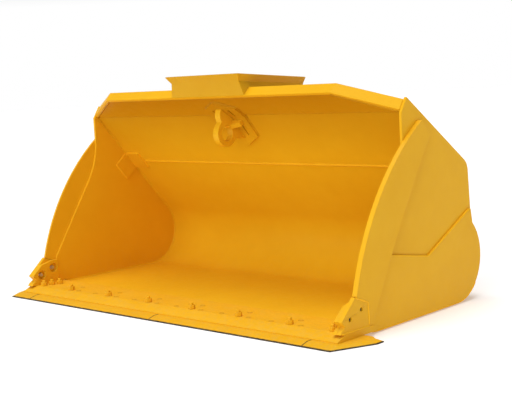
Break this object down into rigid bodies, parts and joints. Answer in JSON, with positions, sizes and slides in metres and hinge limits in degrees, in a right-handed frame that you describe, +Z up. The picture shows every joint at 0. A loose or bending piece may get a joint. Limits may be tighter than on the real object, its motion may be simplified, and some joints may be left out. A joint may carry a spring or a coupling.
{
  "type": "wheel loader bucket",
  "caption": "Welded loader bucket with a bolted cutting edge, corner shoes, curved side bars, spill guard, inner lifting eye and rear hinge ears.",
  "frame": {"origin": "on the ground under the middle of the bounding box", "axes": "+X along the cutting edge to the right as seen from the mouth, +Y from the mouth to the hinges, +Z up with the floor level"},
  "size_m": [3.238, 1.856, 1.546],
  "materials": {
    "yellow_paint": "satin yellow enamel over welded steel plate, with light wear at the edges",
    "bolt_steel": "plain bolt heads, dull"
  },
  "bodies": {
    "root": {"back_plate": "yellow_paint", "base_edge": "yellow_paint", "bottom_wear_strip_left": "yellow_paint", "bottom_wear_strip_right": "yellow_paint", "brow_plate": "yellow_paint", "centre_edge_left": "yellow_paint", "centre_edge_right": "yellow_paint", "corner_block_left": "yellow_paint", "corner_block_right": "yellow_paint", "corner_bolt_left_1": "bolt_steel", "corner_bolt_left_2": "bolt_steel", "corner_bolt_right_1": "bolt_steel", "corner_bolt_right_2": "bolt_steel", "corner_gusset_left": "yellow_paint", "corner_gusset_right": "yellow_paint", "corner_plate_left": "yellow_paint", "corner_plate_right": "yellow_paint", "edge_nut_01": "yellow_paint", "edge_nut_02": "yellow_paint", "edge_nut_03": "yellow_paint", "edge_nut_04": "yellow_paint", "edge_nut_05": "yellow_paint", "edge_nut_06": "yellow_paint", "edge_nut_07": "yellow_paint", "edge_nut_08": "yellow_paint", "edge_nut_09": "yellow_paint", "edge_nut_10": "yellow_paint", "edge_nut_11": "yellow_paint", "edge_nut_12": "yellow_paint", "end_bit_left": "yellow_paint", "end_bit_right": "yellow_paint", "eye_pad": "yellow_paint", "floor_and_heel_plate": "yellow_paint", "lift_hinge_left": "yellow_paint", "lift_hinge_right": "yellow_paint", "lifting_eye": "yellow_paint", "plow_bolt_01": "yellow_paint", "plow_bolt_02": "yellow_paint", "plow_bolt_03": "yellow_paint", "plow_bolt_04": "yellow_paint", "plow_bolt_05": "yellow_paint", "plow_bolt_06": "yellow_paint", "plow_bolt_07": "yellow_paint", "plow_bolt_08": "yellow_paint", "plow_bolt_09": "yellow_paint", "plow_bolt_10": "yellow_paint", "plow_bolt_11": "yellow_paint", "plow_bolt_12": "yellow_paint", "side_bar_left": "yellow_paint", "side_bar_right": "yellow_paint", "side_plate_left": "yellow_paint", "side_plate_right": "yellow_paint", "side_wear_plate_left": "yellow_paint", "side_wear_plate_right": "yellow_paint", "spill_guard": "yellow_paint", "tilt_hinge": "yellow_paint", "top_box_plate": "yellow_paint", "top_cover_plate": "yellow_paint", "top_lip": "yellow_paint"}
  },
  "joints": []
}
